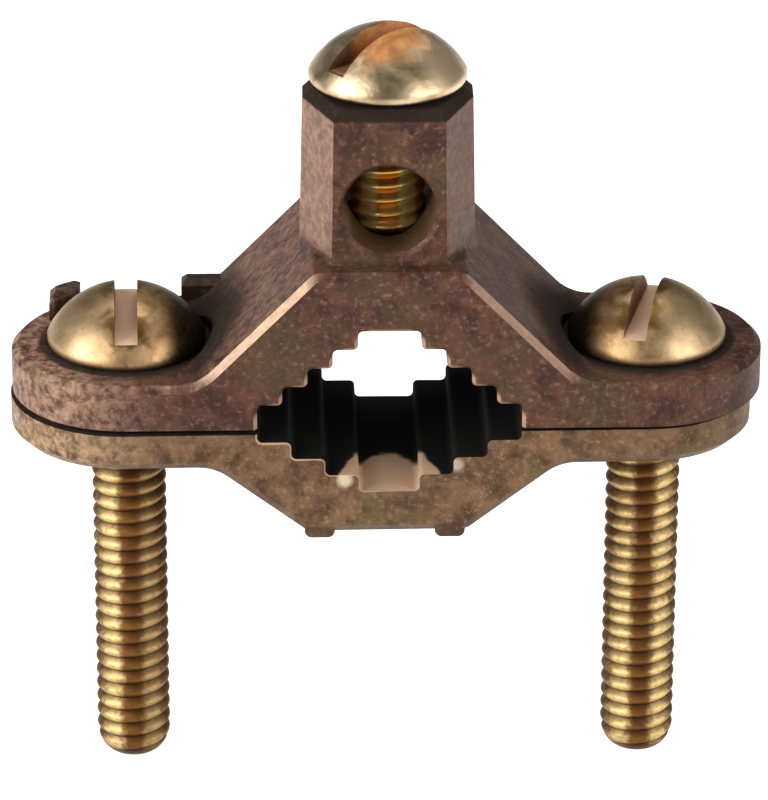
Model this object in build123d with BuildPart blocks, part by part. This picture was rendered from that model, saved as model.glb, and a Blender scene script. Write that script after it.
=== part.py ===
from build123d import *
from math import asin, cos, sin
import os

# Earth rod clamp: two sand-cast bronze jaws with stair-stepped V grips, drawn together on a rod by
# two slotted clamp screws, and a third screw that holds the earth wire in the boss on top.
# Frame: the origin is midway between the jaws' flat faces, on the centre of the rod opening.
# +X runs along the clamp from screw to screw, +Y through the rod opening, +Z up along the screws.

# ---- Driving dimensions, mm ----
screw_spacing = 43.4
casting_depth = 19.2
jaw_gap = 0.5
upper_chamfer = 0.55

# Upper jaw, as seen from the front
upper_top = 14.1
shoulder_half = 6.1
arm_foot = 15.85
ear_top = 4.1
arm_foot_round = 4.0
shoulder_round = 1.2

# Grip of the upper jaw: a flat, then equal steps down to the parting plane
upper_flat_half = 2.6
upper_flat_height = 8.95
upper_step_run = 2.075
upper_step_rise = 1.65
upper_steps = 4

# Wire boss, tapering from its root inside the arms to its top
boss_root = 11.0
boss_top = 27.1
boss_half_width = 7.3
boss_half_depth = 7.15
boss_face_half = 4.75
boss_side_half = 1.3
boss_taper = 1.2
boss_foot_round = 0.8
boss_rim_chamfer = 0.8
wire_hole_diameter = 7.7
wire_hole_height = 18.6
wire_hole_chamfer = 0.45
tapping_depth_height = 14.3

# Left ear, open at the back so that its screw can swing out, with a lip each side of the opening
swing_slot_width = 7.1
outer_lip_middle = 5.3
outer_lip_width = 2.5
inner_lip_middle = 7.2
inner_lip_width = 5.4
lip_thickness = 1.9
lip_height = 2.0
lip_chamfer = 0.5

# Lower jaw, as seen from the front
outline_shift = -0.15
left_ear_radius = 9.6
right_ear_radius = 9.0
lower_ear_bottom = -3.55
slope_start = 14.3
slope_end = 6.6
lower_bottom = -9.5
slope_foot_round = 4.0
slope_end_round = 1.2
lower_chamfer = 0.8

# Grip of the lower jaw: a flat floor, then equal steps up to the parting plane
floor_half = 2.5
floor_height = -5.6
lower_step_run = 2.8
lower_step_rise = 1.52
lower_steps = 3

# Feet under the lower jaw, as deep as its flat bottom
left_foot_x = -5.75
right_foot_x = 5.05
foot_width = 2.5
foot_bottom = -10.05
foot_top = -8.2
foot_round = 0.6

tooth_round = 0.45
grip_edge_break = 0.3

# How far a cutting shape reaches past the casting, and how close a corner is found
past_casting = 1.0
near = 0.1

# Screws, 1/4-20; the shanks are at the size of the thread's crests
thread_diameter = 6.25
tapped_diameter = 6.35
clearance_diameter = 7.1
clamp_screw_point = 1.1
wire_screw_point = 0.5
point_steepness = 1.7
clamp_screw_length = 38.5
clamp_head_diameter = 13.2
clamp_head_height = 4.85
wire_screw_length = 12.7
wire_head_diameter = 13.0
wire_head_height = 4.5
head_rim = 0.75
under_head_break = 0.4
dome_bands = 5
head_seat_gap = 0.05
head_recess_diameter = 14.4
driver_slot_width = 1.9
clamp_slot_depth = 2.75
wire_slot_depth = 2.7
left_slot_turn = 1.0
right_slot_turn = -14.5
wire_slot_turn = -50.0
wire_screw_stand_off = 0.35

half_depth = casting_depth / 2
half_gap = jaw_gap / 2
axis_x = screw_spacing / 2
past_ear = axis_x + half_depth + past_casting
foot_middle = (foot_bottom + foot_top) / 2


def grip_outline(flat_half, flat_height, run, rise, steps, past):
    """Right half of a stair-stepped V: its flat, its steps, and on past the parting plane."""
    points = [(0, flat_height), (flat_half, flat_height)]
    for step in range(steps):
        x = flat_half + step * run
        z = flat_height + (step + 1) * rise
        points += [(x, z), (x + run, z)]
    return points + [(points[-1][0], past), (0, past)]


def grip_opening(outline):
    """The whole stair-stepped V as a sketch, both halves, with its teeth rounded."""
    with BuildSketch() as opening:
        with BuildLine():
            Polyline(outline)
            mirror(about=Plane.YZ)
        make_face()
        fillet([v for v in opening.vertices() if abs(v.Y) > half_gap + near], tooth_round)
    return opening.sketch


def outline_edges(casting, lowest, highest):
    """The edges round the outside of a casting whose middles lie between two heights."""
    found = ShapeList()
    for edge in casting.edges().filter_by(Axis.Z, reverse=True):
        middle = edge.center()
        on_outside = abs(middle.Y) > right_ear_radius - near or abs(middle.X) > axis_x + 1
        if on_outside and lowest < middle.Z < highest:
            found.append(edge)
    return found


# ---- Lips of the left ear: two short walls along its back edge, each side of the open slot ----
lip_root = ear_top - upper_chamfer
with BuildPart() as lips:
    with BuildSketch(Plane.XY.offset(lip_root)):
        with Locations((-axis_x - outer_lip_middle, half_depth)):
            Rectangle(outer_lip_width, casting_depth)
        with Locations((-axis_x + inner_lip_middle, half_depth)):
            Rectangle(inner_lip_width, casting_depth)
        SlotCenterToCenter(screw_spacing, casting_depth, mode=Mode.INTERSECT)
        SlotCenterToCenter(screw_spacing, casting_depth - 2 * lip_thickness, mode=Mode.SUBTRACT)
    extrude(amount=ear_top + lip_height - lip_root)
    chamfer(lips.faces().group_by(Axis.Z)[-1].edges(), lip_chamfer)

# ---- Upper jaw: arms and ears, the wire boss, the upper grip ----
with BuildPart() as upper_jaw:
    with BuildSketch(Plane.XZ) as upper_outline:
        with BuildLine():
            Polyline(
                (0, upper_top),
                (shoulder_half, upper_top),
                (arm_foot, ear_top),
                (past_ear, ear_top),
                (past_ear, half_gap),
                (0, half_gap),
            )
            mirror(about=Plane.YZ)
        make_face()
        fillet([v for v in upper_outline.vertices() if abs(abs(v.X) - arm_foot) < near], arm_foot_round)
        fillet([v for v in upper_outline.vertices() if abs(abs(v.X) - shoulder_half) < near], shoulder_round)
    extrude(amount=half_depth, both=True)
    with BuildSketch(Plane.XY):
        SlotCenterToCenter(screw_spacing, casting_depth)
    extrude(amount=upper_top + past_casting, mode=Mode.INTERSECT)
    chamfer(outline_edges(upper_jaw, half_gap + near, upper_top + past_casting), upper_chamfer)

    # Wire boss: a flat front and back, and sides that widen to the middle
    with BuildSketch(Plane.XY.offset(boss_root)):
        with BuildLine():
            Polyline(
                (0, -boss_half_depth),
                (boss_face_half, -boss_half_depth),
                (boss_half_width, -boss_side_half),
                (boss_half_width, boss_side_half),
                (boss_face_half, boss_half_depth),
                (0, boss_half_depth),
            )
            mirror(about=Plane.YZ)
        make_face()
    extrude(amount=boss_top - boss_root, taper=boss_taper)
    chamfer(upper_jaw.faces().sort_by(Axis.Z)[-1].edges(), boss_rim_chamfer)
    boss_foot = [
        e
        for e in upper_jaw.edges()
        if abs(e.center().X) < boss_half_width
        and abs(e.center().Y) < boss_half_depth
        and boss_root + near < e.center().Z < upper_top + near
        and max(abs(v.Y) for v in e.vertices()) < boss_half_depth + near
    ]
    fillet(boss_foot, boss_foot_round)

    # Lips beside the open slot that keep the left screw's head from sliding out
    add(lips.part)

    # Recesses that let the heads seat close to the arms
    with BuildSketch(Plane.XY.offset(ear_top)):
        with Locations((-axis_x, 0), (axis_x, 0)):
            Circle(head_recess_diameter / 2)
    extrude(amount=upper_top - ear_top, mode=Mode.SUBTRACT)

    # Upper grip
    upper_grip = grip_outline(
        upper_flat_half, upper_flat_height, upper_step_run, -upper_step_rise, upper_steps, -past_casting
    )
    with BuildSketch(Plane.XZ):
        add(grip_opening(upper_grip))
    extrude(amount=casting_depth, both=True, mode=Mode.SUBTRACT)
    for end, inwards in ((half_depth, -1), (-half_depth, 1)):
        with BuildSketch(Plane.XZ.offset(end)):
            add(grip_opening(upper_grip))
            offset(amount=grip_edge_break)
        extrude(amount=inwards * grip_edge_break, taper=45, mode=Mode.SUBTRACT)

    # Wire hole through the boss, and the tapped hole that runs down into its floor
    with BuildSketch(Plane.XZ):
        with Locations((0, wire_hole_height)):
            Circle(wire_hole_diameter / 2)
    extrude(amount=casting_depth, both=True, mode=Mode.SUBTRACT)
    for end, inwards in ((boss_half_depth, -1), (-boss_half_depth, 1)):
        with BuildSketch(Plane.XZ.offset(end)):
            with Locations((0, wire_hole_height)):
                Circle(wire_hole_diameter / 2 + wire_hole_chamfer)
        extrude(amount=inwards * wire_hole_chamfer, taper=45, mode=Mode.SUBTRACT)
    with BuildSketch(Plane.XY.offset(tapping_depth_height)):
        Circle(tapped_diameter / 2)
    extrude(amount=boss_top, mode=Mode.SUBTRACT)

    # Plain hole in the right ear, and the slot in the left one
    with BuildSketch(Plane.XY):
        with Locations((-axis_x, 0), (axis_x, 0)):
            Circle(clearance_diameter / 2)
        with Locations((-axis_x, half_depth)):
            Rectangle(swing_slot_width, casting_depth)
    extrude(amount=ear_top + lip_height + past_casting, mode=Mode.SUBTRACT)
upper_jaw.part.label = "upper_jaw"

# ---- Lower jaw: tapped ears, the lower grip with its flat floor, two feet under it ----
with BuildPart() as lower_jaw:
    with BuildSketch(Plane((outline_shift, 0, 0), x_dir=(1, 0, 0), z_dir=(0, -1, 0))) as lower_outline:
        with BuildLine():
            Polyline(
                (0, lower_bottom),
                (slope_end, lower_bottom),
                (slope_start, lower_ear_bottom),
                (past_ear, lower_ear_bottom),
                (past_ear, -half_gap),
                (0, -half_gap),
            )
            mirror(about=Plane.YZ)
        make_face()
        fillet([v for v in lower_outline.vertices() if abs(abs(v.X) - slope_start) < near], slope_foot_round)
        fillet([v for v in lower_outline.vertices() if abs(abs(v.X) - slope_end) < near], slope_end_round)
    extrude(amount=half_depth, both=True)
    with BuildSketch(Plane.XY):
        with Locations((outline_shift - axis_x, 0)):
            Circle(left_ear_radius)
        with Locations((outline_shift + axis_x, 0)):
            Circle(right_ear_radius)
        make_hull()
    extrude(amount=lower_bottom - past_casting, mode=Mode.INTERSECT)
    chamfer(outline_edges(lower_jaw, lower_bottom - past_casting, -half_gap - near), lower_chamfer)
    with BuildSketch(Plane.XZ):
        with Locations((left_foot_x, foot_middle), (right_foot_x, foot_middle)):
            RectangleRounded(foot_width, foot_top - foot_bottom, foot_round)
    extrude(amount=half_depth - lower_chamfer, both=True)

    # Lower grip, and the tapped holes
    lower_grip = grip_outline(
        floor_half, floor_height, lower_step_run, lower_step_rise, lower_steps, past_casting
    )
    with BuildSketch(Plane.XZ):
        add(grip_opening(lower_grip))
    extrude(amount=casting_depth, both=True, mode=Mode.SUBTRACT)
    for end, inwards in ((half_depth, -1), (-half_depth, 1)):
        with BuildSketch(Plane.XZ.offset(end)):
            add(grip_opening(lower_grip))
            offset(amount=grip_edge_break)
        extrude(amount=inwards * grip_edge_break, taper=45, mode=Mode.SUBTRACT)
    with BuildSketch(Plane.XY):
        with Locations((-axis_x, 0), (axis_x, 0)):
            Circle(tapped_diameter / 2)
    extrude(amount=lower_bottom, mode=Mode.SUBTRACT)
lower_jaw.part.label = "lower_jaw"


def round_head_screw(x, seat, length, point, head_diameter, head_height, slot_depth, slot_turn):
    """A slotted round-head screw that stands at x, its head's underside at height seat.

    The dome is turned as narrow cones that keep within 0.05 mm of a sphere with far fewer facets.
    """
    shank = thread_diameter / 2
    head = head_diameter / 2
    dome = head_height - head_rim
    dome_radius = (head**2 + dome**2) / (2 * dome)
    dome_outline = []
    for band in range(1, dome_bands):
        angle = asin(head / dome_radius) * (1 - band / dome_bands)
        dome_outline.append((dome_radius * sin(angle), head_height - dome_radius * (1 - cos(angle))))
    with BuildPart() as screw:
        with BuildSketch(Plane((x, 0, seat), x_dir=(1, 0, 0), z_dir=(0, -1, 0))):
            with BuildLine():
                Polyline(
                    (0, head_height),
                    (0, -length),
                    (shank - point, -length),
                    (shank, point_steepness * point - length),
                    (shank, 0),
                    (head - under_head_break, 0),
                    (head, under_head_break),
                    (head, head_rim),
                    *dome_outline,
                    close=True,
                )
            make_face()
        revolve(axis=Axis((x, 0, 0), (0, 0, 1)))
        with BuildSketch(Plane((x, 0, seat + head_height))):
            Rectangle(driver_slot_width, head_diameter + past_casting, rotation=slot_turn)
        extrude(amount=-slot_depth, mode=Mode.SUBTRACT)
    return screw


clamp_seat = ear_top + head_seat_gap
clamp_size = (
    clamp_screw_length, clamp_screw_point, clamp_head_diameter, clamp_head_height, clamp_slot_depth
)
clamp_screw_left = round_head_screw(-axis_x, clamp_seat, *clamp_size, left_slot_turn)
clamp_screw_left.part.label = "clamp_screw_left"
clamp_screw_right = round_head_screw(axis_x, clamp_seat, *clamp_size, right_slot_turn)
clamp_screw_right.part.label = "clamp_screw_right"
wire_seat = boss_top + wire_screw_stand_off
wire_size = (wire_screw_length, wire_screw_point, wire_head_diameter, wire_head_height, wire_slot_depth)
wire_screw = round_head_screw(0, wire_seat, *wire_size, wire_slot_turn)
wire_screw.part.label = "wire_screw"

os.makedirs("parts", exist_ok=True)
for piece in (upper_jaw, lower_jaw, clamp_screw_left, clamp_screw_right, wire_screw):
    export_step(piece.part, f"parts/{piece.part.label}.step")
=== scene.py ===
import math

import bmesh
import bpy
from mathutils import Matrix, Vector


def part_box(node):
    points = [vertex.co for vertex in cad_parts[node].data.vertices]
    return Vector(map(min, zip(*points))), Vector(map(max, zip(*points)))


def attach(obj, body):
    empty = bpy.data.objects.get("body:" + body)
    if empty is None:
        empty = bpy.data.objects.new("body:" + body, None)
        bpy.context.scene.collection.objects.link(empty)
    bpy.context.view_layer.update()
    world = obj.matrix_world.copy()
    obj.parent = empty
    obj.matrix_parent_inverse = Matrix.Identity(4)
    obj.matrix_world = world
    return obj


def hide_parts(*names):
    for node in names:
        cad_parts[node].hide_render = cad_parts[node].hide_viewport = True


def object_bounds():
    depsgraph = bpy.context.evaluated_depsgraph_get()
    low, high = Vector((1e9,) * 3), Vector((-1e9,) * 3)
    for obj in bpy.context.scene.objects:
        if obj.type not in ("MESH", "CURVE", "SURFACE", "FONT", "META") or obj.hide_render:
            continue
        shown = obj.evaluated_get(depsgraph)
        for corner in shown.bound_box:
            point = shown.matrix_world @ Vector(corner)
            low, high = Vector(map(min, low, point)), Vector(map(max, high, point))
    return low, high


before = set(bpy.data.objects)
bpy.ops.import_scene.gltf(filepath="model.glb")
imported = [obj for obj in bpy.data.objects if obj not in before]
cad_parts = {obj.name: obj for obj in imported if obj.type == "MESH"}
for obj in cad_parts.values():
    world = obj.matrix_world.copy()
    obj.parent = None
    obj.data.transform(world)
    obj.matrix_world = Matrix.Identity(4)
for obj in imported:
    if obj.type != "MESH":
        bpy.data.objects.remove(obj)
cad_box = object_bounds()

# ---- Upper jaw ----
# A sand-cast bronze yoke: two ears, two arms, a stair-stepped grip and the boss for the wire.
# Its skin is brown and grainy from the sand, with a painted highlight along the arms' edges, painted
# shade round the screw heads and painted shade that makes the grip nearly black inside.
MM = 0.001
AXIS_X = 21.7 * MM
HALF_DEPTH = 9.6 * MM
EAR_TOP = 4.1 * MM
ARMS_TOP = 14.1 * MM
BOSS_TOP = 27.1 * MM
WIRE_HOLE_HEIGHT = 18.6 * MM
WIRE_HOLE_RADIUS = 3.85 * MM


def tone(red, green, blue):
    """A colour named as it looks, from 0 to 255, in the renderer's linear values."""
    def linear(part):
        share = part / 255
        return share / 12.92 if share <= 0.04045 else ((share + 0.055) / 1.055) ** 2.4
    return (linear(red), linear(green), linear(blue), 1.0)


class Wire:
    """A socket of a finish: arithmetic on it adds Math nodes, and node() adds any other node."""

    def __init__(self, tree, socket=None):
        self.tree = tree
        self.socket = socket

    def node(self, kind, settings=None, inputs=None, output=0):
        made = self.tree.nodes.new("ShaderNode" + kind)
        for name, value in (settings or {}).items():
            setattr(made, name, value)
        for name, value in (inputs or {}).items():
            if isinstance(value, Wire):
                self.tree.links.new(value.socket, made.inputs[name])
            else:
                made.inputs[name].default_value = value
        return Wire(self.tree, made.outputs[output])

    def math(self, operation, *values):
        return self.node("Math", {"operation": operation}, dict(enumerate(values)))

    def __add__(self, other):
        return self.math("ADD", self, other)

    __radd__ = __add__

    def __sub__(self, other):
        return self.math("SUBTRACT", self, other)

    def __rsub__(self, other):
        return self.math("SUBTRACT", other, self)

    def __mul__(self, other):
        return self.math("MULTIPLY", self, other)

    __rmul__ = __mul__

    def __truediv__(self, other):
        return self.math("DIVIDE", self, other)

    def __pow__(self, other):
        return self.math("POWER", self, other)

    def __abs__(self):
        return self.math("ABSOLUTE", self)

    def __or__(self, other):
        return self.math("MAXIMUM", self, other)

    def between(self, low, high):
        """0 below low and 1 above high, with a smooth step from one to the other."""
        settings = {"interpolation_type": "SMOOTHSTEP"}
        return self.node("MapRange", settings, {"Value": self, "From Min": low, "From Max": high})

    def noise(self, size, detail=3.0, roughness=0.55, lean=0.0):
        """Cloudy noise from 0 to 1 whose spots are about size across."""
        inputs = {"Vector": self, "Scale": 1 / size, "Detail": detail, "Roughness": roughness}
        inputs["Distortion"] = lean
        return self.node("TexNoise", {"noise_dimensions": "3D"}, inputs)

    def blend(self, under, over):
        """The colour under where self is 0, and over where it is 1."""
        first_colour, second_colour, mixed_colour = 6, 7, 2
        inputs = {"Factor": self, first_colour: under, second_colour: over}
        settings = {"data_type": "RGBA", "clamp_factor": True}
        return self.node("Mix", settings, inputs, mixed_colour)

    def bump(self, strength, depth):
        """The normals of a surface on which 1 stands up from 0 by depth."""
        return self.node("Bump", None, {"Strength": strength, "Distance": depth, "Height": self})

    def axes(self):
        """The three parts of a vector."""
        split = self.node("SeparateXYZ", None, {"Vector": self}).socket.node
        return [Wire(self.tree, part) for part in split.outputs]


def distance(first, second):
    """How far a place is from a centre, by its distances along two axes."""
    return (first ** 2 + second ** 2) ** 0.5


def new_finish(name):
    """An empty material with its object coordinates, its surface's own normals and its shader."""
    finish = bpy.data.materials.new(name)
    finish.use_nodes = True
    place = Wire(finish.node_tree).node("TexCoord", output="Object")
    facing = Wire(finish.node_tree, place.socket.node.outputs["Normal"])
    return finish, place, facing, finish.node_tree.nodes["Principled BSDF"]


def connect(shader, **links):
    """Links wires, or sets plain values, on the shader's sockets."""
    for name, value in links.items():
        socket = shader.inputs[name.replace("_", " ")]
        if isinstance(value, Wire):
            shader.id_data.links.new(value.socket, socket)
        else:
            socket.default_value = value


def cast_bronze(name, deep, body, olive, pale_grain_and_highlight, grip_half_width, grip_half_height, lit_floor):
    """Sand-cast bronze: mottled brown and grainy, with painted highlights, and painted shade that
    blackens the grip.
    """
    finish, place, facing, shader = new_finish(name)
    x, y, z = place.axes()
    across, forward, up = facing.axes()

    # The skin: brown that drifts to olive, with pale grains and dark pits
    clouds = place.noise(2.4 * MM, 5, 0.62, 0.3)
    grains = place.noise(0.50 * MM, 5, 0.70)
    drift = place.noise(6.5 * MM, 3, 0.5)
    colour = clouds.between(0.36, 0.64).blend(deep, body)
    colour = (drift.between(0.50, 0.62) * 0.6).blend(colour, olive)
    colour = (grains.between(0.50, 0.82) * 0.42).blend(colour, pale_grain_and_highlight)
    colour = (grains.between(0.47, 0.26) * 0.50).blend(colour, tone(38, 24, 19))

    # Painted light: paler blotches on the left ear's end, the boss's slanting sides and the left
    # arm's slope
    blotches = place.noise(0.8 * MM, 5, 0.70)
    left_end_light = x.between(-17 * MM, -28 * MM) * blotches.between(0.34, 0.68)
    flank_highlight = abs(across).between(0.75, 0.88) * z.between(ARMS_TOP - 0.3 * MM, ARMS_TOP + 0.9 * MM)
    flank_highlight = flank_highlight * (0.20 + blotches.between(0.36, 0.72) * 0.42)
    flank_highlight = flank_highlight * (1 - x.between(-2 * MM, 2 * MM) * 0.6)
    slope_highlight = up.between(0.45, 0.60) * up.between(0.90, 0.80) * x.between(-4 * MM, -8 * MM)
    slope_highlight = slope_highlight * blotches.between(0.36, 0.70) * 0.34
    colour = (left_end_light * 0.70 | flank_highlight | slope_highlight).blend(colour, pale_grain_and_highlight)

    # A painted highlight along the front and back edges of the sloping arms
    bevel = (0.30 - abs(abs(forward) - 0.70)).between(0.02, 0.16)
    bevel = bevel * abs(y).between(HALF_DEPTH - 1.4 * MM, HALF_DEPTH - 0.9 * MM)
    arms = abs(x).between(5.6 * MM, 7.0 * MM) * z.between(EAR_TOP - 0.1 * MM, EAR_TOP + 1.3 * MM)
    arms = arms * z.between(ARMS_TOP + 0.2 * MM, ARMS_TOP - 0.5 * MM)
    from_grip = abs(x) / grip_half_width + abs(z) / grip_half_height
    line = bevel * arms * from_grip.between(1.10, 1.25) * (1 - x.between(-3 * MM, 3 * MM) * 0.5)
    colour = (line * (0.20 + blotches * 0.9)).blend(colour, tone(216, 178, 148))

    # The grip: painted shade that makes it black inside, with a painted highlight on the rim at its
    # front and back edges
    inside = from_grip.between(1.05, 0.99)
    rim = inside * abs(forward).between(0.50, 0.72) * abs(forward).between(0.95, 0.80)
    colour = (rim * (0.25 + blotches * 0.9)).blend(colour, pale_grain_and_highlight)
    grip_shade = inside * abs(forward).between(0.55, 0.35)
    if lit_floor:
        # Painted light on the front of the grip's floor, two painted glints beside it, and a darker
        # underside
        wander = (place.noise(1.2 * MM, 3) - 0.5) * (1.6 * MM)
        mound = (x / (4.4 * MM)) ** 2 * (7.8 * MM) + wander
        floor_light = (y + mound).between(-1.4 * MM, -2.6 * MM) * z.between(-3.6 * MM, -3.9 * MM)
        floor_light = floor_light * inside * abs(forward).between(0.80, 0.60)
        colour = floor_light.blend(colour, tone(214, 178, 146))
        tooth_glints = distance(x + 3.7 * MM, z + 4.5 * MM).between(0.9 * MM, 0.3 * MM)
        tooth_glints = tooth_glints | distance(x - 5.5 * MM, z + 3.2 * MM).between(0.9 * MM, 0.3 * MM)
        tooth_glints = tooth_glints * y.between(0.6 * MM - HALF_DEPTH, 0.2 * MM - HALF_DEPTH) * (0.3 + blotches)
        colour = tooth_glints.blend(colour, tone(236, 212, 176))
        grip_shade = grip_shade * (1 - floor_light)
        darker_underside = z.between(-9.0 * MM, -9.5 * MM)
        colour = (darker_underside * 0.5).blend(colour, tone(60, 46, 36))
    # Painted shade: the grip's inside painted near-black
    colour = grip_shade.blend(colour, tone(8, 7, 6))

    # Painted shade on the two lips at the back of the left ear
    lips = y.between(4.6 * MM, 5.2 * MM) * x.between(-11.5 * MM, -13 * MM)
    lips = lips * z.between(EAR_TOP, EAR_TOP + 0.3 * MM)
    colour = (lips * (0.95 - blotches * 0.5)).blend(colour, tone(52, 40, 30))

    # Painted shade in the gap between the jaws, round the screws' heads, at the feet of the arms
    # and on top of the boss
    gap = abs(z).between(0.45 * MM, 0.30 * MM) * abs(up).between(0.5, 0.9)
    on_ears = z.between(EAR_TOP - 0.2 * MM, EAR_TOP - 0.05 * MM)
    reach = distance(abs(x) - AXIS_X, y)
    ring = reach.between(8.6 * MM, 7.0 * MM) * z.between(EAR_TOP - 0.7 * MM, EAR_TOP - 0.1 * MM)
    ring = ring * up.between(-0.3, 0.4) * abs(x).between(28 * MM, 21 * MM)
    seat = (reach.between(7.6 * MM, 7.1 * MM) | ring * 0.85) * on_ears
    foot = reach.between(11.6 * MM, 8.6 * MM) * abs(x).between(17.5 * MM, 15.5 * MM)
    foot = foot * up.between(0.2, 0.5) * on_ears
    cap = z.between(BOSS_TOP - 0.95 * MM, BOSS_TOP - 0.70 * MM)
    painted_shade = gap | seat | foot | cap
    colour = (painted_shade * 0.90).blend(colour, tone(26, 17, 12))

    # Inside the wire hole: painted shade that darkens the bore
    bore = distance(x, z - WIRE_HOLE_HEIGHT)
    bore = bore.between(WIRE_HOLE_RADIUS + 0.15 * MM, WIRE_HOLE_RADIUS - 0.05 * MM)
    bore = bore * abs(forward).between(0.6, 0.3)
    colour = (bore * 0.85).blend(colour, tone(80, 58, 28))

    sand = place.noise(0.34 * MM, 6, 0.7)
    lumps = place.noise(1.7 * MM, 3, 0.5)
    dull = grip_shade | painted_shade | bore
    connect(
        shader,
        Base_Color=colour,
        Metallic=0.22 - dull * 0.22,
        Roughness=0.48 + clouds * 0.12 - line * 0.12 + dull * 0.36,
        Specular_IOR_Level=0.25,
        Normal=(sand * 0.55 + lumps * 1.2).bump(0.6, 0.11 * MM),
    )
    return finish


upper_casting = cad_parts["upper_jaw"]
upper_casting.material_slots[0].material = cast_bronze(
    "upper_bronze", deep=tone(58, 34, 26), body=tone(92, 59, 44), olive=tone(80, 62, 41),
    pale_grain_and_highlight=tone(198, 156, 132), grip_half_width=12.6 * MM, grip_half_height=10.4 * MM,
    lit_floor=False,
)

# ---- Lower jaw ----
# The matching bronze casting below: tapped ears, a stair-stepped grip whose flat floor has painted
# light at the front, and two feet. Its skin is more olive than the upper one's, and darker
# underneath.
lower_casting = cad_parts["lower_jaw"]
lower_casting.material_slots[0].material = cast_bronze(
    "lower_bronze", deep=tone(76, 52, 35), body=tone(122, 92, 65), olive=tone(112, 92, 61),
    pale_grain_and_highlight=tone(208, 172, 136), grip_half_width=12.6 * MM, grip_half_height=7.0 * MM,
    lit_floor=True,
)

# ---- Clamp screws ----
# Two slotted round-head brass screws, 1/4-20, that draw the jaws together. Each is a turned blank:
# a domed head with a sawn slot, and a shank with a rolled right-hand thread and a rounded point.
PITCH = 1.27 * MM
CREST = 6.25 / 2 * MM
ROOT = 5.35 / 2 * MM
HEAD_RIM = 0.75 * MM
UNDER_HEAD = 0.40 * MM
SLOT_WIDTH = 1.9 * MM
CREST_FULLNESS = 0.7
THREAD_STEPS = 72
HEAD_STEPS = 96
EXACT = 1e-7


def thread_profile(low, high):
    """One axial line of points over the thread's rounded crests and roots, from low to high."""
    points = []
    parts = 12
    for step in range(int((high - low) / PITCH + 1) * parts):
        swell = (1 - math.cos(math.tau * step / parts)) / 2
        radius = ROOT + (CREST - ROOT) * swell ** CREST_FULLNESS
        points.append((radius, low + step * PITCH / parts))
    return points


def head_profile(seat, radius, height):
    """A line of points from the edge of the head's underside, round its rim and over its dome."""
    points = []
    rim_parts = 4
    for part in range(rim_parts + 1):
        angle = math.pi / 2 * part / rim_parts
        out = radius - UNDER_HEAD + UNDER_HEAD * math.sin(angle)
        points.append((out, seat + UNDER_HEAD * (1 - math.cos(angle))))
    dome = height - HEAD_RIM
    dome_radius = (radius ** 2 + dome ** 2) / (2 * dome)
    dome_parts = 20
    for part in range(dome_parts + 1):
        angle = math.asin(radius / dome_radius) * (1 - part / dome_parts)
        fall = dome_radius * (1 - math.cos(angle))
        points.append((dome_radius * math.sin(angle), seat + height - fall))
    return points


def spin(mesh, profile, steps, climb, closed):
    """Spins a line of points once round the upright axis, and climbs as it goes."""
    line = [mesh.verts.new((radius, 0, z)) for radius, z in profile]
    edges = [mesh.edges.new(pair) for pair in zip(line, line[1:])]
    bmesh.ops.spin(
        mesh, geom=line + edges, cent=(0, 0, 0), axis=(0, 0, 1), dvec=(0, 0, climb / steps),
        angle=math.tau, steps=steps, use_merge=closed,
    )


def cut(mesh, faces, at, across, **clear):
    """Cuts the given faces where they cross a plane."""
    geometry = set(faces)
    for face in faces:
        geometry.update(face.edges)
        geometry.update(face.verts)
    bmesh.ops.bisect_plane(mesh, geom=list(geometry), plane_co=at, plane_no=across, **clear)


def close_at(mesh, height):
    """Fills the round hole that lies open at a height."""
    rim = [e for e in mesh.edges if e.is_boundary]
    rim = [e for e in rim if all(abs(v.co.z - height) < 10 * EXACT for v in e.verts)]
    bmesh.ops.triangle_fill(mesh, use_beauty=True, use_dissolve=False, edges=rim)


def draw_in_point(mesh, tip, length, end_radius):
    """Draws the thread's crests and roots in along a rounded nose."""
    for vert in mesh.verts:
        if vert.co.z < tip + length:
            rise = (tip + length - vert.co.z) / length
            limit = end_radius + (CREST - end_radius) * math.sqrt(max(0.0, 1 - rise * rise))
            radius = math.hypot(vert.co.x, vert.co.y)
            if radius > limit:
                vert.co.x *= limit / radius
                vert.co.y *= limit / radius


def saw_slot(mesh, seat, floor):
    """Cuts the dome along the slot's walls and floor, and puts walls and a floor in the gap."""
    half = SLOT_WIDTH / 2

    def domed(face):
        return face.calc_center_median().z > seat + UNDER_HEAD / 2

    for side in (-1, 1):
        cut(mesh, [f for f in mesh.faces if domed(f)], (side * half, 0, 0), (1, 0, 0))
    middle = [f for f in mesh.faces if domed(f) and abs(f.calc_center_median().x) < half]
    cut(mesh, middle, (0, 0, floor), (0, 0, 1))
    middle = [f for f in mesh.faces if abs(f.calc_center_median().x) < half - EXACT]
    sawn = [f for f in middle if f.calc_center_median().z > floor + EXACT]
    bmesh.ops.delete(mesh, geom=sawn, context="FACES")
    open_edges = [e for e in mesh.edges if e.is_boundary]
    for side in (-1, 1):
        wall = [e for e in open_edges if all(abs(v.co.x - side * half) < EXACT for v in e.verts)]
        foot = mesh.edges.new([v for e in wall for v in e.verts if abs(v.co.z - floor) < EXACT])
        open_edges.append(foot)
        bmesh.ops.contextual_create(mesh, geom=wall + [foot])
    bed = [e for e in open_edges if all(abs(v.co.z - floor) < EXACT for v in e.verts)]
    bmesh.ops.contextual_create(mesh, geom=bed)


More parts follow.
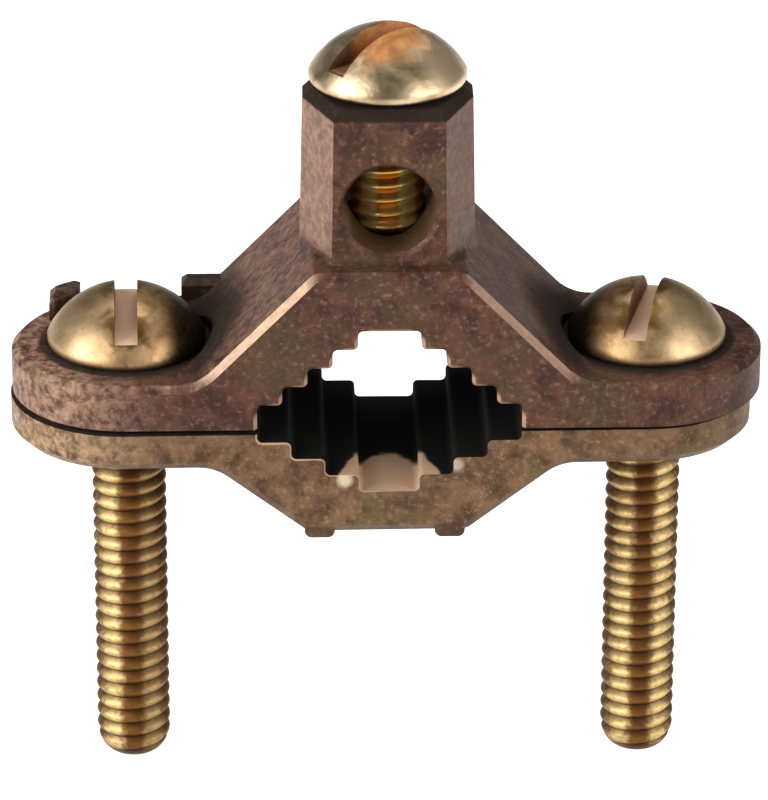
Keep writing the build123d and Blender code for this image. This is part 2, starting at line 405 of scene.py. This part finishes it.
def slotted_screw(
    name, node, x, length, head_diameter, head_height, slot_depth, slot_turn, point_length, end_radius
):
    """A threaded screw where its CAD node stands, and the heights of its seat and slot floor."""
    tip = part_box(node)[0].z
    seat = tip + length
    floor = seat + head_height - slot_depth
    mesh = bmesh.new()

    # The thread's profile climbs one pitch as it goes round, and is then trimmed to length
    profile = thread_profile(tip - 2 * PITCH, seat + PITCH)
    spin(mesh, profile, THREAD_STEPS, climb=PITCH, closed=False)
    bmesh.ops.remove_doubles(mesh, verts=mesh.verts, dist=0.01 * MM)
    cut(mesh, mesh.faces[:], (0, 0, tip), (0, 0, -1), clear_outer=True)
    cut(mesh, mesh.faces[:], (0, 0, seat), (0, 0, 1), clear_outer=True)
    draw_in_point(mesh, tip, point_length, end_radius)
    close_at(mesh, tip)

    profile = head_profile(seat, head_diameter / 2, head_height)
    spin(mesh, profile, HEAD_STEPS, climb=0, closed=True)
    bmesh.ops.remove_doubles(mesh, verts=mesh.verts, dist=0.004 * MM)
    close_at(mesh, seat)
    saw_slot(mesh, seat, floor)

    turn = Matrix.Translation((x, 0, 0)) @ Matrix.Rotation(math.radians(slot_turn), 4, "Z")
    bmesh.ops.transform(mesh, matrix=turn, verts=mesh.verts)
    bmesh.ops.recalc_face_normals(mesh, faces=mesh.faces)
    data = bpy.data.meshes.new(name)
    mesh.to_mesh(data)
    mesh.free()
    data.shade_smooth()
    data.set_sharp_from_angle(angle=math.radians(35))
    screw = bpy.data.objects.new(name, data)
    bpy.context.scene.collection.objects.link(screw)
    return screw, seat, floor


def over_slot(east, north, slot_turn):
    """How far a place is from the middle of a driver slot, across it."""
    turn = math.radians(slot_turn)
    return east * math.cos(turn) + north * math.sin(turn)


def slot_floor(over, height, floor):
    """1 on the floor of a driver slot."""
    return abs(over).between(1.02 * MM, 0.93 * MM) * abs(height - floor).between(0.12 * MM, 0.04 * MM)


def turned_brass(name, x, seat, floor, slot_turn):
    """Brass: a tan head with painted shade on its side by the arm, and a thread with painted
    highlights and painted shade.
    """
    finish, place, facing, shader = new_finish(name)
    east, north, height = place.axes()
    east = east - x
    over = over_slot(east, north, slot_turn)
    up = facing.axes()[2]
    clouds = place.noise(2.6 * MM, 4, 0.6, 0.5)
    specks = place.noise(0.5 * MM, 4, 0.65)

    # The head: a painted highlight on its outer side, darker olive beside the slot and painted shade
    # towards the arm
    outer_highlight = (over * math.copysign(1, x)).between(0.5 * MM, 4.5 * MM)
    colour = clouds.between(0.34, 0.66).blend(tone(134, 104, 66), tone(188, 154, 112))
    colour = (outer_highlight * 0.65).blend(colour, clouds.blend(tone(176, 148, 108), tone(222, 196, 158)))
    colour = (specks.between(0.55, 0.78) * 0.5).blend(colour, tone(96, 70, 34))
    beside = abs(over).between(2.3 * MM, 1.0 * MM) * height.between(seat + 1.2 * MM, seat + 2.0 * MM)
    colour = (beside * clouds.between(0.62, 0.40) * 0.85).blend(colour, tone(92, 66, 24))
    # Painted light on the slot's floor
    bed = slot_floor(over, height, floor) * up.between(0.85, 0.95)
    colour = bed.blend(colour, tone(236, 196, 162))
    inner_shade = (over * math.copysign(1, -x)).between(2.6 * MM, 4.6 * MM) * (0.74 + specks * 0.4)
    colour = inner_shade.blend(colour, tone(40, 34, 18))
    walls = abs(over).between(1.02 * MM, 0.97 * MM) * up.between(0.30, 0.12)
    walls = walls * height.between(floor - 0.10 * MM, floor)
    colour = (walls * 0.7).blend(colour, tone(140, 102, 70))
    # Painted shade under the head's rim
    under = height.between(seat + 0.55 * MM, seat + 0.25 * MM)
    colour = (under * 0.8).blend(colour, tone(52, 36, 18))

    # The thread: painted highlights each side of its middle, painted shade between them and in its
    # roots
    shank = height.between(seat - 0.05 * MM, seat - 0.15 * MM)
    roots = distance(east, north).between(3.00 * MM, 2.62 * MM)
    ragged = (clouds - 0.5) * (1.0 * MM) + (specks - 0.5) * (1.2 * MM)
    highlight_columns = (abs(abs(east) - 1.75 * MM) + ragged).between(1.25 * MM, 0.30 * MM)
    # Painted shade on the left screw's column nearer the middle
    if x < 0:
        highlight_columns = highlight_columns * (1 - east.between(-0.5 * MM, 0.5 * MM) * 0.55)
    shaded_middle = clouds.between(0.35, 0.65).blend(tone(104, 64, 38), tone(122, 84, 38))
    thread = highlight_columns.blend(shaded_middle, tone(212, 184, 128))
    thread = (specks.between(0.4, 0.7) * 0.4).blend(thread, tone(108, 76, 40))
    thread = (roots * 0.85).blend(thread, tone(64, 38, 20))

    scratches = place.noise(0.22 * MM, 4, 0.6)
    dents = place.noise(1.4 * MM, 2, 0.5)
    connect(
        shader,
        Base_Color=shank.blend(colour, thread),
        Metallic=0.95 - bed * 0.7,
        Roughness=0.34 + clouds * 0.10 + specks * 0.08 + (walls | under) * 0.3 - shank * 0.18,
        Normal=(scratches * 0.5 + dents * 1.4).bump(0.35, 0.06 * MM),
    )
    return finish


for side, x, slot_turn in (("left", -AXIS_X, 1.0), ("right", AXIS_X, -14.5)):
    node = "clamp_screw_" + side
    screw, seat, slot_bottom = slotted_screw(
        "threaded_screw_" + side, node, x, length=38.5 * MM,
        head_diameter=13.2 * MM, head_height=4.85 * MM, slot_depth=2.75 * MM, slot_turn=slot_turn,
        point_length=2.5 * MM, end_radius=1.5 * MM,
    )
    screw.data.materials.append(turned_brass("brass_" + side, x, seat, slot_bottom, slot_turn))
    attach(screw, node)
    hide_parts(node)

# ---- Wire screw ----
# The short screw on top that presses the earth wire down in its hole: the same form in plated
# steel, dulled to a silvery beige, with orange-brown rust in its slot and a golden thread.
WIRE_SLOT_TURN = -50.0


def along_slot(east, north, slot_turn):
    """How far a place is from a screw's axis, along its driver slot."""
    turn = math.radians(slot_turn)
    return north * math.cos(turn) - east * math.sin(turn)


def rusty_steel(seat, floor, slot_turn):
    """Dull plated steel with rust in its slot and in a stain beside it."""
    finish, place, facing, shader = new_finish("rusty_steel")
    east, north, height = place.axes()
    over = over_slot(east, north, slot_turn)
    along = along_slot(east, north, slot_turn)
    up = facing.axes()[2]
    clouds = place.noise(2.8 * MM, 4, 0.6, 0.5)
    ragged = (place.noise(1.1 * MM, 5, 0.62, 0.4) - 0.5) * (2.2 * MM)

    # The plating: darker at the front, and a painted highlight on the right
    colour = clouds.between(0.34, 0.66).blend(tone(158, 136, 102), tone(216, 192, 156))
    darker_front = distance(east - 0.3 * MM, north + 2.8 * MM)
    colour = (darker_front.between(3.2 * MM, 1.0 * MM) * 0.90).blend(colour, tone(96, 78, 56))
    right_highlight = distance(east - 3.9 * MM, north + 2.4 * MM)
    colour = (right_highlight.between(3.2 * MM, 1.0 * MM) * 0.9).blend(colour, tone(252, 222, 180))

    # The rust: a stain beside the slot, and the slot's walls and floor, with painted shade at the
    # near end
    stain = distance((over - 1.6 * MM) / 1.5, (along + 0.9 * MM) / 2.3) + ragged
    stain = stain.between(2.0 * MM, 0.7 * MM)
    walls = abs(over).between(1.05 * MM, 0.95 * MM) * up.between(0.30, 0.12)
    walls = walls * height.between(floor - 0.10 * MM, floor)
    bed = slot_floor(over, height, floor) * (along + ragged * 0.4).between(-5.6 * MM, -4.9 * MM)
    rust = (stain | walls | bed) * height.between(seat, seat + 0.5 * MM)
    rust_tone = clouds.between(0.35, 0.62).blend(tone(172, 106, 46), tone(206, 144, 84))
    shaded_near_end = (walls | bed * 0.8) * (along + ragged * 0.5).between(-2.2 * MM, -3.6 * MM)
    rust_tone = shaded_near_end.blend(rust_tone, tone(84, 42, 10))
    colour = (rust * 0.90).blend(colour, rust_tone)
    # Painted shade under the head's rim
    under = height.between(seat + 0.50 * MM, seat + 0.15 * MM)
    colour = (under * 0.35).blend(colour, tone(110, 90, 64))

    # The thread: golden, with painted highlights each side of its middle and painted shade in its
    # roots
    shank = height.between(seat - 0.05 * MM, seat - 0.15 * MM)
    roots = distance(east, north).between(2.95 * MM, 2.50 * MM)
    highlight_columns = (abs(abs(east) - 1.6 * MM) + ragged * 0.4).between(1.0 * MM, 0.4 * MM)
    thread = highlight_columns.blend(tone(216, 156, 78), tone(255, 244, 176))
    thread = (roots * 0.3).blend(thread, tone(170, 116, 50))

    grit = place.noise(0.28 * MM, 5) * 0.6 + place.noise(1.4 * MM, 2, 0.5) * 1.2 + rust * 0.4
    connect(
        shader,
        Base_Color=shank.blend(colour, thread),
        Metallic=0.95 - rust * 0.75,
        Roughness=0.30 + clouds * 0.10 + rust * 0.35,
        Normal=grit.bump(0.4, 0.06 * MM),
    )
    return finish


wire_screw, seat, slot_bottom = slotted_screw(
    "threaded_wire_screw", "wire_screw", 0.0, length=12.7 * MM,
    head_diameter=13.0 * MM, head_height=4.5 * MM, slot_depth=2.7 * MM, slot_turn=WIRE_SLOT_TURN,
    point_length=0.9 * MM, end_radius=2.3 * MM,
)
wire_screw.data.materials.append(rusty_steel(seat, slot_bottom, WIRE_SLOT_TURN))
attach(wire_screw, "wire_screw")
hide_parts("wire_screw")

# ---- Floor, lamps and camera ----
# A plain white floor that keeps the clamp's shadow, a broad soft lamp on each side, which leave the
# front faces darker than the flanks, and a weaker one above.
FLOOR_HALF = 12.0
FLOOR_CLEARANCE = 0.02 * MM

mesh = bmesh.new()
bmesh.ops.create_grid(mesh, x_segments=1, y_segments=1, size=FLOOR_HALF)
bmesh.ops.translate(mesh, vec=(0, 0, cad_box[0][2] - FLOOR_CLEARANCE), verts=mesh.verts)
data = bpy.data.meshes.new("floor")
mesh.to_mesh(data)
mesh.free()
floor = bpy.data.objects.new("floor", data)
bpy.context.scene.collection.objects.link(floor)

# White to the eye and in reflections, and plain paper in the light that it gives back
finish, place = new_finish("white_floor")[:2]
camera_ray = place.node("LightPath", output="Is Camera Ray")
glossy_ray = place.node("LightPath", output="Is Glossy Ray")
clear_ray = place.node("LightPath", output="Is Transmission Ray")
shown = camera_ray | glossy_ray | clear_ray
paper = place.node("BsdfDiffuse", None, {"Color": (0.6, 0.6, 0.6, 1)})
glow = place.node("Emission", None, {"Color": (1, 1, 1, 1), "Strength": 0.84})
lit = place.node("AddShader", None, {0: paper, 1: glow})
mixed = place.node("MixShader", None, {"Fac": shown, 1: paper, 2: lit})
output = finish.node_tree.nodes["Material Output"]
finish.node_tree.links.new(mixed.socket, output.inputs["Surface"])
floor.data.materials.append(finish)

world = bpy.data.worlds.new("studio")
bpy.context.scene.world = world
world.use_nodes = True
world.node_tree.nodes["Background"].inputs["Color"].default_value = (1, 1, 1, 1)
world.node_tree.nodes["Background"].inputs["Strength"].default_value = 0.14


def soft_lamp(name, azimuth, elevation, away, size, power):
    """A soft lamp that faces the clamp, azimuth degrees round from its front."""
    turned, raised = math.radians(azimuth), math.radians(elevation)
    level = away * math.cos(raised)
    place = Vector((level * math.sin(turned), -level * math.cos(turned), away * math.sin(raised)))
    light = bpy.data.lights.new(name, "AREA")
    light.shape = "RECTANGLE"
    light.size, light.size_y = size
    light.energy = power
    lamp = bpy.data.objects.new(name, light)
    lamp.location = place
    lamp.rotation_euler = (-place).to_track_quat("-Z", "Y").to_euler()
    bpy.context.scene.collection.objects.link(lamp)


soft_lamp("left_lamp", azimuth=-60, elevation=24, away=0.65, size=(0.54, 0.50), power=5.4)
soft_lamp("right_lamp", azimuth=56, elevation=22, away=0.65, size=(0.42, 0.46), power=2.9)
soft_lamp("top_lamp", azimuth=180, elevation=80, away=0.60, size=(0.36, 0.26), power=1.2)

bpy.context.scene.view_settings.view_transform = "Standard"

# The camera: above the clamp's front and a little to its left
CAMERA_DISTANCE = 440 * MM
CAMERA_LOOKS_DOWN = math.radians(25.2)
CAMERA_LOOKS_RIGHT = math.radians(1.6)
CAMERA_ROLL = math.radians(0.2)

level = math.cos(CAMERA_LOOKS_DOWN)
ahead = Vector((
    math.sin(CAMERA_LOOKS_RIGHT) * level,
    math.cos(CAMERA_LOOKS_RIGHT) * level,
    -math.sin(CAMERA_LOOKS_DOWN),
))
rightward = ahead.cross(Vector((0, 0, 1))).normalized()
upward = rightward.cross(ahead)
aim = -0.21 * MM * rightward - 1.46 * MM * upward
lens = bpy.data.cameras.new("camera")
lens.sensor_fit = "HORIZONTAL"
lens.sensor_width = 36
lens.lens = 246
camera = bpy.data.objects.new("camera", lens)
turn = Matrix((rightward, upward, -ahead)).transposed().to_4x4()
turn = turn @ Matrix.Rotation(CAMERA_ROLL, 4, "Z")
camera.matrix_world = Matrix.Translation(aim - CAMERA_DISTANCE * ahead) @ turn
bpy.context.scene.collection.objects.link(camera)
bpy.context.scene.camera = camera
